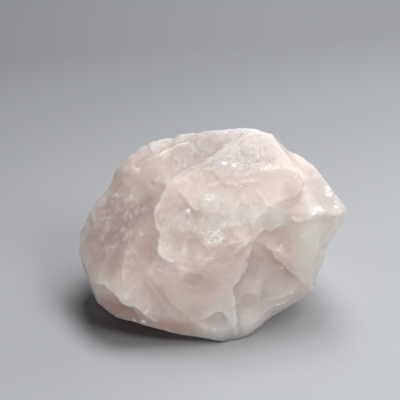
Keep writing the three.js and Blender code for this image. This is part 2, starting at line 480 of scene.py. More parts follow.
LEDGES = (
    Ledge("shoulder", ((-9.2, 0.0, 29.5), (-10.2, -1.9, 28.6), (-11.3, -3.4, 26.6), (-12.8, -5.4, 24.0),
                       (-12.1, -7.0, 22.3), (-11.3, -8.7, 20.8), (-11.9, -9.9, 19.3), (-11.4, -11.5, 17.8),
                       (-9.7, -12.3, 16.8), (-6.7, -11.9, 17.1)),
          0.4, 3.0, 1.0, gleam=0.9, painted_shade=0.6, painted_shade_reach=4.5),
    Ledge("pan ridge", ((3.3, 7.9, 33.3), (1.1, 6.3, 32.7), (-1.1, 4.8, 32.1), (-2.9, 3.5, 31.4),
                        (-5.1, 3.0, 30.7), (-6.8, 1.9, 30.1), (-8.1, 0.4, 29.8), (-9.4, -1.4, 29.4)),
          0.22, 2.5, 1.2, sink=0.05, sink_reach=2.5, gleam=0.5, painted_shade=0.1, painted_shade_reach=3.0),
    Ledge("tongue", ((-7.6, -2.4, 28.7), (-6.8, -3.1, 27.9), (-5.5, -4.3, 26.7), (-3.7, -5.7, 25.0),
                     (-2.7, -5.1, 25.9)), 0.22, 2.0, 0.8, gleam=0.5, painted_shade=0.35, painted_shade_reach=3.0),
    Ledge("arch lip", ((3.9, -11.7, 17.7), (5.2, -11.0, 19.1), (6.7, -10.4, 19.9), (8.2, -9.7, 20.5),
                       (9.3, -8.8, 20.9), (10.0, -7.9, 21.6), (11.1, -7.3, 21.7), (12.2, -7.1, 21.3),
                       (14.1, -6.7, 22.1), (15.6, -6.4, 22.9)), 0.8, 4.0, 0.8, sink=0.05, gleam=0.8, painted_shade=0.4,
          painted_shade_reach=2.0),
    Ledge("cove left edge", ((4.9, -18.0, 0.2), (4.9, -15.6, 6.0), (4.2, -14.6, 9.1), (4.2, -14.1, 11.8),
                             (5.7, -12.7, 12.6), (7.0, -11.3, 14.2), (7.4, -10.8, 17.1), (8.7, -9.3, 18.6)),
          0.8, 3.0, 0.9, sink=0.6, sink_reach=3.0, gleam=0.8, painted_shade=0.7, painted_shade_reach=4.5),
    Ledge("cove right edge", ((10.9, -8.5, 19.3), (11.8, -8.9, 17.8), (14.9, -9.4, 14.3), (18.3, -9.5, 10.6),
                              (21.0, -8.8, 7.0)), 0.75, 3.0, 0.9, gleam=0.45, painted_shade=0.4, painted_shade_reach=5.0),
    Ledge("high step", ((-15.1, -13.1, 14.5), (-13.6, -14.6, 12.2), (-11.9, -15.8, 9.8), (-9.3, -17.6, 6.3),
                        (-7.2, -18.7, 4.2)), 0.3, 2.5, 1.2, gleam=0.25, painted_shade=0.35, painted_shade_reach=3.0),
    Ledge("low step", ((-11.4, -15.4, 11.9), (-8.3, -16.9, 8.5), (-5.0, -17.6, 5.5), (-2.9, -18.8, 2.3)),
          0.3, 2.5, 1.2, gleam=0.25, painted_shade=0.35, painted_shade_reach=3.0),
    Ledge("undercut rim", ((-26.4, -11.3, 10.7), (-23.6, -13.0, 11.1), (-21.8, -14.8, 10.4),
                           (-20.0, -16.4, 9.5), (-18.3, -17.1, 8.4), (-16.8, -17.2, 8.2),
                           (-15.3, -17.7, 7.2), (-13.8, -18.1, 5.9), (-11.5, -18.5, 4.8)),
          0.5, 2.2, 0.6, sink=0.4, sink_reach=2.4, unevenness=0.2, gleam=0.8, painted_shade=0.6),
    Ledge("toe roof", ((-2.9, -17.8, 5.1), (-0.7, -17.1, 5.9), (1.6, -16.5, 7.0), (2.7, -16.7, 5.5),
                       (3.4, -17.0, 3.5)), 0.35, 1.8, 0.5, sink=0.25, gleam=0.6, painted_shade=0.6),
    Ledge("toe lip", ((3.4, -17.1, 3.1), (0.4, -18.2, 2.9), (-2.5, -18.4, 3.6), (-3.8, -18.0, 4.7)),
          0.3, 1.0, 1.2, gleam=0.7, painted_shade=0.0),
    Ledge("shelf", ((21.1, -6.2, 24.8), (22.5, -5.3, 25.0), (25.3, -3.7, 23.4), (28.5, -1.5, 21.8)),
          0.45, 2.0, 0.9, sink=0.2, gleam=1.0, gleam_width=0.9),
    Ledge("lens edge", ((16.7, -5.7, 24.3), (17.5, -6.7, 23.1), (20.5, -6.9, 23.8), (22.0, -5.9, 24.9)),
          0.3, 2.2, 0.7, gleam=0.9, painted_shade=0.3),
    Ledge("right crease", ((27.0, -2.5, 22.8), (26.9, -2.7, 20.8), (26.2, -3.6, 19.3), (25.1, -4.8, 17.5),
                           (24.6, -5.4, 15.5)), 0.3, 2.5, 0.9, gleam=0.7, painted_shade=0.3, painted_shade_reach=1.8),
    Ledge("right fold", ((21.7, -8.2, 11.8), (22.0, -7.8, 14.3), (22.8, -6.9, 16.3), (23.4, -5.8, 18.7),
                         (22.6, -5.6, 21.8)), 0.3, 2.5, 1.2, gleam=0.4, painted_shade=0.25, painted_shade_reach=2.5),
    Ledge("faint ridge", ((-1.8, -1.9, 29.2), (1.0, -1.5, 29.5), (4.0, -1.5, 29.7), (7.2, -1.2, 30.0),
                          (10.5, -0.9, 30.1)), 0.14, 1.8, 0.5, gleam=0.7, painted_shade=0.35, painted_shade_reach=1.6),
    Ledge("plate streak", ((1.8, -10.7, 19.6), (4.8, -10.5, 20.3), (7.4, -9.7, 20.8), (9.5, -8.5, 21.0)),
          0.14, 1.6, 0.7, gleam=0.6, painted_shade=0.2, painted_shade_reach=1.6),
    Ledge("tongue foot", ((-5.3, -5.2, 25.4), (-6.5, -5.6, 24.7), (-7.8, -6.0, 23.9)),
          0.12, 1.2, 0.4, gleam=0.9, painted_shade=0.3, painted_shade_reach=1.2),
    Ledge("steps brow", ((4.0, -12.1, 16.5), (-0.8, -13.3, 15.7), (-6.1, -13.4, 15.8), (-10.4, -12.4, 16.7)),
          0.16, 2.2, 1.2, gleam=0.3, painted_shade=0.35, painted_shade_reach=3.0),
    Ledge("low hollow roof", ((-7.6, -15.1, 12.8), (-6.5, -14.2, 14.5), (-4.6, -13.8, 14.8),
                              (-2.9, -13.6, 14.9), (-1.6, -14.2, 13.7)),
          0.12, 2.5, 2.0, sink=0.2, sink_reach=3.5, gleam=0.1, painted_shade=0.35, painted_shade_reach=4.5),
    Ledge("foot ledge", ((10.7, -12.7, 6.2), (13.3, -12.5, 6.6), (16.9, -10.9, 6.7), (20.1, -9.2, 6.8)),
          0.15, 2.0, 0.8, sink=0.1, gleam=0.4, painted_shade=0.3, painted_shade_reach=1.2),
    Ledge("second foot ledge", ((10.7, -13.6, 3.8), (13.8, -12.6, 4.7), (16.9, -11.0, 5.3),
                                (20.0, -8.8, 4.8)),
          0.5, 1.2, 0.4, sink=0.3, sink_reach=1.0, gleam=0.6, painted_shade=0.8, painted_shade_reach=0.8),
    Ledge("lowest foot ledge", ((7.2, -16.3, 1.0), (9.9, -14.2, 1.5), (12.9, -13.0, 3.3), (16.1, -11.5, 4.3)),
          0.5, 1.0, 0.4, sink=0.35, sink_reach=0.9, gleam=0.6, painted_shade=0.8, painted_shade_reach=0.8),
    Ledge("face lobe", ((0.3, -7.3, 23.6), (2.7, -8.1, 23.0), (5.7, -7.9, 23.4), (8.2, -6.9, 24.8),
                        (9.5, -5.4, 26.4)), 0.25, 3.5, 1.6, gleam=0.5, painted_shade=0.2),
    Ledge("small lobe", ((9.1, -2.6, 28.9), (10.4, -4.0, 27.7), (11.2, -5.3, 26.6), (13.0, -5.4, 26.1)),
          0.15, 2.0, 0.8, gleam=0.7, painted_shade=0.2),
    Ledge("junction", ((16.3, 10.0, 31.0), (17.7, 7.0, 30.3), (18.6, 4.3, 29.3), (19.3, 1.0, 28.9),
                       (20.0, -1.3, 27.7)), 0.2, 2.0, 1.0, gleam=0.5, painted_shade_reach=3.5),
    Ledge("flank crack", ((-13.9, 3.0, 27.3), (-12.0, 0.8, 28.2), (-10.2, -1.0, 29.1)),
          0.15, 2.0, 0.4, sink=0.15, gleam=0.3, painted_shade=0.6, painted_shade_reach=0.7),
)

DENTS = (
    Dent("shoulder bowl", (-9.2, -9.8, 20.2), 3.6, 0.45),
    Dent("right notch", (25.5, -5.4, 14.8), 1.8, 0.9),
    Dent("foot notch", (22.6, -7.6, 6.4), 1.1, 0.5),
    Dent("cove", (9.5, -11.5, 12.5), 5.0, 0.4),
)

NUDGES = (
    Nudge("right notch", (26.5, -4.5, 15.5), 5.5, (-1.0, 0.4, 0.0)),
    Nudge("right waist", (24.2, -6.5, 12.0), 4.0, (-0.7, 0.3, 0.0)),
    Nudge("left notch", (-24.0, 11.2, 21.0), 5.5, (0.9, -0.3, -0.3)),
    Nudge("toe", (1.0, -18.6, 1.0), 7.0, (0.3, -0.5, 0.0)),
    Nudge("right ankle", (22.8, -6.8, 8.5), 3.0, (-0.5, 0.2, 0.0)),
    Nudge("foot", (8.5, -15.6, 1.2), 6.0, (0.3, -1.5, 0.0)),
    Nudge("lip", (-20.5, -15.8, 5.0), 5.0, (-0.2, -0.5, -0.3)),
)

HACKLE = (
    Patch((-22.0, 0.0, 18.0), (12.0, 14.0, 12.0), 0.6),
    Patch((-6.0, 8.0, 31.0), (9.0, 8.0, 4.0), 0.5),
    Patch((17.0, -11.0, 3.0), (8.0, 5.0, 4.0)),
    Patch((0.0, 20.0, 14.0), (30.0, 8.0, 16.0), 0.7),
)

GRAINS = (
    Patch((-20.0, 1.0, 20.0), (10.0, 14.0, 11.0)),
)

STRIAE = (
    Patch((-6.0, 7.0, 31.0), (9.0, 6.0, 4.0)),
    Patch((11.0, -11.0, 15.0), (6.0, 5.0, 4.0), 0.6),
)


@dataclass(frozen=True)
class BrokenSurface:
    """The all-over relief of broken beryl, as a Geometry Nodes tree with named inputs.

    Sizes and heights are in metres, tilts are rise over run, and scales are lumps in a metre.
    """

    facet_size: float = 5.5 * MM
    facet_tilt: float = 0.03
    hackle_size: float = 1.3 * MM
    hackle_tilt: float = 0.09
    ripple: float = 0.09 * MM
    grain_height: float = 0.16 * MM
    striae: float = 0.07 * MM
    border: float = 0.3
    seed: int = 7
    seed_step: Point = (0.031, 0.017, 0.023)
    warp_scale: float = 260.0
    warp_detail: float = 3.0
    warp_reach: float = 2.2 * MM
    least_hackle: float = 0.18
    ripple_scale: float = 420.0
    ripple_detail: float = 4.0
    lump_size: float = 2.1 * MM
    lump_detail: float = 2.5
    lump_bend: float = 0.6
    lump_range: tuple[float, float] = (0.55, 0.67)
    heap_size: float = 7.0 * MM
    heap_range: tuple[float, float] = (0.40, 0.56)
    striae_stretch: Point = (0.15, 1.0, 1.0)
    striae_scale: float = 0.25 / MM
    striae_bend: float = 3.0

    def tilted(self, tree: Tree, size: object, tilt: object, place: object) -> bpy.types.NodeSocket:
        """Adds flat facets that each lean their own way.

        Args:
            tree: The tree.
            size: A facet's size.
            tilt: The most that a facet leans, as rise over run.
            place: Where the facets are read.

        Returns:
            The height's output.
        """
        scale = tree.math("DIVIDE", 1.0, size)
        cells = tree.add("ShaderNodeTexVoronoi", feature="SMOOTH_F1")
        tree.join(place, cells.inputs["Vector"])
        tree.join(scale, cells.inputs["Scale"])
        cells.inputs["Smoothness"].default_value = self.border
        lean = tree.vector("SUBTRACT", cells.outputs["Color"], (0.5, 0.5, 0.5)).outputs[0]
        off = tree.vector("SUBTRACT", place, cells.outputs["Position"]).outputs[0]
        height = tree.vector("DOT_PRODUCT", off, lean).outputs["Value"]
        return tree.math("MULTIPLY", tree.math("MULTIPLY", height, 2.0), tilt)

    def region(self, tree: Tree, name: str) -> bpy.types.NodeSocket:
        """Reads one of the stone's named regions."""
        node = tree.add("GeometryNodeInputNamedAttribute", data_type="FLOAT")
        node.inputs["Name"].default_value = name
        return node.outputs["Attribute"]

    def inputs(self) -> dict[str, float]:
        """The tree's named inputs and their values."""
        return {"Facet Size": self.facet_size, "Facet Tilt": self.facet_tilt, "Hackle Size": self.hackle_size,
                "Hackle Tilt": self.hackle_tilt, "Ripple": self.ripple, "Grain Height": self.grain_height,
                "Striae Height": self.striae, "Seed": float(self.seed)}

    def make(self, material: bpy.types.Material) -> bpy.types.NodeTree:
        """Builds the tree.

        Args:
            material: The material that the tree gives the surface.

        Returns:
            The node group.
        """
        group = bpy.data.node_groups.new("broken_surface", "GeometryNodeTree")
        face = group.interface
        face.new_socket("Geometry", in_out="INPUT", socket_type="NodeSocketGeometry")
        for name in self.inputs():
            face.new_socket(name, in_out="INPUT", socket_type="NodeSocketFloat")
        face.new_socket("Geometry", in_out="OUTPUT", socket_type="NodeSocketGeometry")
        tree = Tree(group)
        enter = tree.add("NodeGroupInput")
        leave = tree.add("NodeGroupOutput")
        place = tree.add("GeometryNodeInputPosition").outputs[0]
        normal = tree.add("GeometryNodeInputNormal").outputs[0]
        step = tree.scaled(self.seed_step, enter.outputs["Seed"])
        seeded = tree.vector("ADD", place, step).outputs[0]
        warp = tree.noise(seeded, self.warp_scale, self.warp_detail).outputs["Color"]
        warp = tree.vector("SUBTRACT", warp, (0.5, 0.5, 0.5)).outputs[0]
        bent = tree.vector("ADD", seeded, tree.scaled(warp, self.warp_reach)).outputs[0]
        broad = self.tilted(tree, enter.outputs["Facet Size"], enter.outputs["Facet Tilt"], bent)
        fine = self.tilted(tree, enter.outputs["Hackle Size"], enter.outputs["Hackle Tilt"], bent)
        rough = tree.ramp(self.region(tree, "hackle"), 0.0, 1.0, self.least_hackle, 1.0, False)
        fine = tree.math("MULTIPLY", fine, rough)
        waves = tree.noise(seeded, self.ripple_scale, self.ripple_detail).outputs["Fac"]
        ripple = tree.math("MULTIPLY", tree.math("SUBTRACT", waves, 0.5),
                           tree.math("MULTIPLY", enter.outputs["Ripple"], 2.0))
        lumps = tree.noise(seeded, 1.0 / self.lump_size, self.lump_detail, bend=self.lump_bend)
        heaps = tree.noise(bent, 1.0 / self.heap_size)
        grain = tree.math("MULTIPLY", tree.ramp(lumps.outputs["Fac"], *self.lump_range),
                          tree.ramp(heaps.outputs["Fac"], *self.heap_range))
        grain = tree.math("MULTIPLY", grain, self.region(tree, "grain_zone"))
        raised = tree.math("MULTIPLY", grain, enter.outputs["Grain Height"])
        bands = tree.add("ShaderNodeTexWave", wave_type="BANDS", bands_direction="DIAGONAL",
                         wave_profile="SAW")
        tree.join(tree.vector("MULTIPLY", bent, self.striae_stretch).outputs[0], bands.inputs["Vector"])
        bands.inputs["Scale"].default_value = self.striae_scale
        bands.inputs["Distortion"].default_value = self.striae_bend
        lines = tree.math("MULTIPLY", bands.outputs["Fac"], self.region(tree, "striae"))
        lines = tree.math("MULTIPLY", lines, enter.outputs["Striae Height"])
        height = tree.math("ADD", tree.math("ADD", broad, fine), tree.math("ADD", ripple, raised))
        height = tree.math("ADD", height, lines)
        height = tree.math("MULTIPLY", height, self.region(tree, "free"))
        keep = tree.add("GeometryNodeStoreNamedAttribute", data_type="FLOAT", domain="POINT")
        tree.join(enter.outputs["Geometry"], keep.inputs["Geometry"])
        keep.inputs["Name"].default_value = "grain"
        tree.join(grain, keep.inputs["Value"])
        move = tree.add("GeometryNodeSetPosition")
        tree.join(keep.outputs["Geometry"], move.inputs["Geometry"])
        tree.join(tree.scaled(normal, height), move.inputs["Offset"])
        real = tree.add("GeometryNodeRealizeInstances")
        tree.join(move.outputs["Geometry"], real.inputs["Geometry"])
        paint = tree.add("GeometryNodeSetMaterial")
        paint.inputs["Material"].default_value = material
        tree.join(real.outputs["Geometry"], paint.inputs["Geometry"])
        tree.join(paint.outputs["Geometry"], leave.inputs["Geometry"])
        return group

    def put_on(self, piece: bpy.types.Object, material: bpy.types.Material) -> None:
        """Puts the tree on a piece as a modifier with its inputs set."""
        relief = piece.modifiers.new("broken surface", "NODES")
        relief.node_group = self.make(material)
        values = self.inputs()
        for item in relief.node_group.interface.items_tree:
            if item.item_type == "SOCKET" and item.in_out == "INPUT" and item.name in values:
                relief[item.identifier] = values[item.name]


@dataclass(frozen=True)
class MilkyStone:
    """Finish of the stone: milky pale pink, waxy, with clouds and tinted regions, painted shade below ledges,
    in hollows, on the top and under the lip, painted highlights on ridges, and white bruises that are partly
    painted glints.

    Sizes are in metres. A share says how strongly a tint covers what lies under it.
    """

    name: str = "milky_morganite"
    pink: tuple[float, float, float, float] = (0.765, 0.605, 0.54, 1.0)
    milk: tuple[float, float, float, float] = (0.755, 0.715, 0.665, 1.0)
    # colour of the painted highlights on rims and ridges, also of the real whitish grains and blots
    rim: tuple[float, float, float, float] = (0.868, 0.789, 0.737, 1.0)
    # mauve tone, also used as painted shade
    mauve_and_shade: tuple[float, float, float, float] = (0.512, 0.392, 0.380, 1.0)
    # colour of the painted shade below the ledges and in the hollows
    painted_shade: tuple[float, float, float, float] = (0.552, 0.460, 0.432, 1.0)
    # colour of the painted shade on the top and the upper right
    painted_upper_shade: tuple[float, float, float, float] = (0.530, 0.473, 0.442, 1.0)
    # colour of the white splinters, partly painted glints
    flake_and_glint: tuple[float, float, float, float] = (1.0, 0.97, 0.95, 1.0)
    # colour of the painted shade under the lip, reddened as light through the thin lip would be
    painted_lip_shade: tuple[float, float, float, float] = (0.560, 0.360, 0.295, 1.0)
    glow: tuple[float, float, float] = (1.0, 0.92, 0.88)
    glow_depth: float = 14.0 * MM
    glow_share: float = 0.9
    flake_glow: float = 0.0
    cloud_size: float = 6.0 * MM
    cloud_range: tuple[float, float] = (0.38, 0.66)
    cloud_share: float = 0.3
    least_veil: float = 0.12
    mottle_size: float = 1.4 * MM
    mottle_range: tuple[float, float] = (0.35, 0.68)
    mottle_share: float = 0.12
    milk_share: float = 0.85
    mauve_clears: float = 0.35
    mauve_in_cloud: float = 0.55
    # shares of the painted shade in hollows and of the painted highlight on ridges
    hollow_share: float = 0.3
    edge_share: float = 0.25
    grain_share: float = 0.5
    haze_share: float = 0.18
    gloss_size: float = 0.9 * MM
    gloss_range: tuple[float, float] = (0.3, 0.7)
    roughness: tuple[float, float] = (0.30, 0.52)
    flake_gloss: float = 0.28
    specular: float = 0.45
    bump: float = 0.2
    pore_size: float = 0.35 * MM
    flake_size: float = 0.7 * MM
    flake_shape: tuple[float, float, float] = (2.6, 1.0, 0.7)
    flake_turns: tuple[tuple[float, float, float], ...] = ((0.3, 0.6, 0.2), (-0.2, -0.7, -0.5))
    flake_range: tuple[float, float] = (0.68, 0.71)
    flake_crowding: float = 0.12
    flake_fade: float = 0.25
    glitter_size: float = 0.9 * MM
    glitter_tilt: float = 1.2
    bump_depth: float = 0.12 * MM

    def share(self, tree: Tree, name: str) -> bpy.types.NodeSocket:
        """Reads one of the stone's named attributes."""
        node = tree.add("ShaderNodeAttribute", attribute_name=name)
        return node.outputs["Fac"]

    def weighed(self, tree: Tree, name: str, amount: float) -> bpy.types.NodeSocket:
        """Reads a named attribute, times an amount."""
        return tree.math("MULTIPLY", self.share(tree, name), amount)

    def noise(self, tree: Tree, place: object, size: float, detail: float, roughness: float = 0.55,
              bend: float = 0.0) -> bpy.types.NodeSocket:
        """Adds even noise of one size.

        Args:
            tree: The tree.
            place: Where it is read.
            size: Size of one lump in metres.
            detail: How many finer layers it has.
            roughness: How strong the finer layers are.
            bend: How far it is bent by itself.

        Returns:
            The noise's output, about 0.3 to 0.7.
        """
        return tree.noise(place, 1.0 / size, detail, roughness, bend).outputs["Fac"]

    def flakes(self, tree: Tree, place: object, flake_and_glint_share: bpy.types.NodeSocket) -> bpy.types.NodeSocket:
        """Adds the small white splinters of a spot, lying two ways across each other, partly painted glints.

        Args:
            tree: The tree.
            place: Where they are read.
            flake_and_glint_share: How strong the white splinters and painted glints are there; splinters are
                denser in the middle.

        Returns:
            The whiteness, 0 or 1 with soft borders.
        """
        white = 0.0
        for turn in self.flake_turns:
            turned = tree.add("ShaderNodeMapping", vector_type="TEXTURE")
            tree.feed(turned.inputs["Vector"], place)
            turned.inputs["Rotation"].default_value = turn
            turned.inputs["Scale"].default_value = self.flake_shape
            splinters = self.noise(tree, turned.outputs[0], self.flake_size, 2.0, 0.6, 0.8)
            white = tree.math("MAXIMUM", white, splinters)
        white = tree.ramp(tree.math("MULTIPLY_ADD", flake_and_glint_share, self.flake_crowding, white), *self.flake_range)
        return tree.math("MULTIPLY", white, tree.ramp(flake_and_glint_share, 0.0, self.flake_fade))

    def glitter(self, tree: Tree, place: object) -> bpy.types.NodeSocket:
        """Adds the tiny leaning flats that make a broken face sparkle.

        Args:
            tree: The tree.
            place: Where they are read.

        Returns:
            Their height, for a bump.
        """
        cells = tree.add("ShaderNodeTexVoronoi", feature="F1")
        tree.feed(cells.inputs["Vector"], place)
        cells.inputs["Scale"].default_value = 1.0 / self.glitter_size
        lean = tree.vector("SUBTRACT", cells.outputs["Color"], (0.5, 0.5, 0.5)).outputs[0]
        off = tree.vector("SUBTRACT", place, cells.outputs["Position"]).outputs[0]
        height = tree.vector("DOT_PRODUCT", off, lean).outputs["Value"]
        return tree.math("MULTIPLY", height, self.glitter_tilt / self.bump_depth)

    def tint(self, tree: Tree, place: object, flake_and_glint_mask: bpy.types.NodeSocket) -> bpy.types.NodeSocket:
        """Lays the stone's tints over each other, with painted shade, painted highlights and painted glints
        among them.

        Args:
            tree: The tree.
            place: Where they are read.
            flake_and_glint_mask: Where the white splinters and painted glints are.

        Returns:
            The colour's output.
        """
        cloud = tree.ramp(self.noise(tree, place, self.cloud_size, 5.0, 0.6, 0.6), *self.cloud_range)
        mottle = tree.ramp(self.noise(tree, place, self.mottle_size, 4.0, 0.6, 0.3), *self.mottle_range)
        veil = tree.math("ADD", tree.math("MULTIPLY_ADD", cloud, self.cloud_share, self.least_veil),
                         tree.math("MULTIPLY", mottle, self.mottle_share))
        veil = tree.math("ADD", veil, self.weighed(tree, "milk", self.milk_share))
        veil = tree.math("SUBTRACT", veil, self.weighed(tree, "mauve_and_shade", self.mauve_clears))
        veil = tree.ramp(veil, 0.0, 1.0, smooth=False)
        colour = blend(tree, veil, self.pink, self.milk)
        # mauve tone, partly painted shade
        deep = tree.math("MULTIPLY", self.share(tree, "mauve_and_shade"),
                         tree.ramp(cloud, 0.0, 1.0, 1.0, self.mauve_in_cloud))
        colour = blend(tree, deep, colour, self.mauve_and_shade)
        # painted shade on the top and the upper right
        colour = blend(tree, self.share(tree, "painted_upper_shade"), colour, self.painted_upper_shade)
        # painted shade under the lip, reddened as by light through the thin lip
        colour = blend(tree, self.share(tree, "painted_lip_shade"), colour, self.painted_lip_shade)
        # painted shade: darker below the ledges and in the hollows
        low = tree.math("MAXIMUM", self.share(tree, "painted_shade"), self.weighed(tree, "hollow", self.hollow_share))
        colour = blend(tree, low, colour, self.painted_shade)
        # painted highlights on rims and ridges, with the real whitish blots
        high = tree.math("MAXIMUM", self.share(tree, "rim"), self.weighed(tree, "edge", self.edge_share))
        colour = blend(tree, high, colour, self.rim)
        colour = blend(tree, self.weighed(tree, "grain", self.grain_share), colour, self.rim)
        # white haze and splinters, partly painted glints
        haze = self.weighed(tree, "flake_and_glint", self.haze_share)
        return blend(tree, tree.math("MAXIMUM", flake_and_glint_mask, haze), colour, self.flake_and_glint)

    def make(self) -> bpy.types.Material:
        """Makes the material.

        Returns:
            The finished material.
        """
        material = bpy.data.materials.new(self.name)
        material.use_nodes = True
        tree = Tree(material.node_tree)
        shader = material.node_tree.nodes["Principled BSDF"]
        place = tree.add("ShaderNodeTexCoord").outputs["Object"]
        flake_and_glint_mask = self.flakes(tree, place, self.share(tree, "flake_and_glint"))
        tree.join(self.tint(tree, place, flake_and_glint_mask), shader.inputs["Base Color"])
        gloss = tree.ramp(self.noise(tree, place, self.gloss_size, 3.0), *self.gloss_range, *self.roughness)
        gloss = tree.math("SUBTRACT", gloss, tree.math("MULTIPLY", flake_and_glint_mask, self.flake_gloss))
        tree.join(gloss, shader.inputs["Roughness"])
        pores = self.noise(tree, place, self.pore_size, 4.0, 0.65)
        pores = tree.math("ADD", pores, self.glitter(tree, place))
        bump = tree.add("ShaderNodeBump")
        bump.inputs["Strength"].default_value = self.bump
        bump.inputs["Distance"].default_value = self.bump_depth
        tree.join(pores, bump.inputs["Height"])
        tree.join(bump.outputs["Normal"], shader.inputs["Normal"])
        shader.subsurface_method = "RANDOM_WALK"
        glow = tree.ramp(flake_and_glint_mask, 0.0, 1.0, self.glow_share, self.flake_glow, smooth=False)
        tree.join(glow, shader.inputs["Subsurface Weight"])
        shader.inputs["Subsurface Radius"].default_value = self.glow
        shader.inputs["Subsurface Scale"].default_value = self.glow_depth
        shader.inputs["Specular IOR Level"].default_value = self.specular
        return material


MILK = (
    Patch((-14.0, 17.0, 20.0), (8.0, 8.0, 8.0), 0.7),
    Patch((20.0, 12.0, 8.0), (9.0, 8.0, 7.0), 0.8),
    Patch((24.0, -3.0, 18.0), (11.0, 11.0, 16.0), 0.9),
    Patch((-4.0, 15.0, 32.5), (17.0, 4.0, 4.0), 0.8),
    Patch((4.0, -17.0, 6.0), (8.0, 5.0, 7.0), 0.5),
    Patch((3.0, -6.0, 25.5), (9.0, 7.0, 6.0), 0.6),
    Patch((-6.5, -8.0, 21.5), (7.0, 6.0, 7.5), 0.3),
    Patch((12.0, -6.5, 24.0), (6.5, 4.5, 4.0), 0.75),
    Patch((12.0, -11.0, 8.0), (7.0, 5.0, 8.0), 0.6),
    Patch((17.5, -2.0, 28.8), (3.5, 4.5, 5.0), 0.4),
    Patch((27.0, -1.0, 22.0), (6.0, 8.0, 8.0)),
)

# mauve regions: partly the stone's own mauve tone, partly painted shade on the left flank and other shaded
# spots
MAUVE_AND_SHADE = (
    Patch((-14.5, -3.5, 24.5), (4.0, 5.0, 5.5), 0.5),
    Patch((2.0, 18.0, 12.0), (12.0, 6.0, 8.0), 0.45),
    Patch((-20.0, 10.0, 8.0), (10.0, 8.0, 8.0), 0.5),
    Patch((-22.5, -2.0, 17.0), (11.0, 15.0, 12.0), 0.8),
    Patch((17.5, -2.0, 28.8), (3.5, 4.5, 5.0), 0.45),
    Patch((-6.0, 6.0, 31.0), (8.0, 6.0, 3.0), 0.5),
    Patch((12.0, -10.0, 9.0), (7.0, 5.0, 8.0), 0.4),
    Patch((1.0, -17.5, 4.0), (3.5, 2.5, 1.8), 0.7),
    Patch((-2.5, -14.5, 12.5), (5.5, 4.0, 3.5), 0.3),
)

# painted shade: the top and the upper right darker, where the lamps fall strongest
PAINTED_UPPER_SHADE = (
    Patch((2.0, 9.0, 35.0), (30.0, 20.0, 10.0)),
    Patch((26.0, 3.0, 25.5), (10.0, 12.0, 9.0)),
)

# painted shade on the undercut and its lip, reddened as by light through the thin lip
PAINTED_LIP_SHADE = (
    Patch((-20.0, -15.0, 4.5), (13.0, 7.0, 5.5)),
    Patch((-10.0, -18.8, 3.2), (9.0, 3.0, 3.2)),
)

# spots of white splinters, partly painted glints
FLAKES_AND_GLINTS = (
    Patch((-8.0, 18.5, 18.0), (3.0, 2.0, 2.0)),
    Patch((9.0, 17.5, 20.0), (2.2, 2.0, 2.6)),
    Patch((18.0, 14.0, 14.0), (3.4, 1.5, 1.2), 0.8),
    Patch((-2.0, 18.0, 27.0), (1.6, 1.6, 1.6), 0.8),
    Patch((-0.1, -9.4, 21.0), (3.2, 3.0, 2.6)),
    Patch((-1.0, -12.3, 17.4), (1.7, 1.2, 0.9)),
    Patch((-1.0, -3.7, 27.5), (2.0, 1.2, 0.9)),
    Patch((-5.7, -5.4, 25.1), (1.0, 0.9, 0.9), 0.8),
    Patch((5.3, -1.9, 29.4), (1.4, 0.8, 0.5), 0.8),
    Patch((22.6, -5.4, 24.9), (3.2, 1.5, 1.0)),
    Patch((25.2, 1.5, 25.6), (1.2, 3.0, 1.6)),
    Patch((27.0, -1.5, 23.8), (1.0, 2.0, 1.2), 0.8),
    Patch((22.0, -7.9, 6.0), (1.2, 1.0, 0.8)),
    Patch((8.1, -15.6, 1.2), (1.2, 1.0, 0.7), 0.8),
    Patch((5.0, 3.0, 31.9), (5.5, 1.6, 0.9), 0.6),
    Patch((13.0, 1.8, 31.3), (4.0, 1.2, 0.9), 0.6),
    Patch((-17.1, 9.0, 26.3), (1.8, 1.5, 1.6)),
    Patch((-18.4, 2.4, 23.2), (1.6, 1.5, 1.2)),
    Patch((-22.6, -6.5, 15.6), (2.0, 1.8, 1.8), 0.6),
    Patch((-29.3, 4.9, 13.8), (1.6, 2.0, 2.2), 0.6),
)


@dataclass(frozen=True)
class Specks:
    """Small round spots strewn over the stone, from a fixed seed."""

    count: int
    sizes: tuple[float, float]
    shares: tuple[float, float]
    seed: int

    def share(self, skin: Skin, where: np.ndarray) -> np.ndarray:
        """Strews the spots.

        Args:
            skin: The points.
            where: How likely each point is to be the middle of a spot.

        Returns:
            A share of 0 to 1 at each point.
        """
        rng = np.random.default_rng(self.seed)
        found = np.zeros(len(skin.at))
        for middle in rng.choice(len(skin.at), self.count, p=where / where.sum()):
            away = np.linalg.norm(skin.at - skin.at[middle], axis=1) / rng.uniform(*self.sizes)
            found = np.maximum(found, eased(1.0 - away) * rng.uniform(*self.shares))
        return found


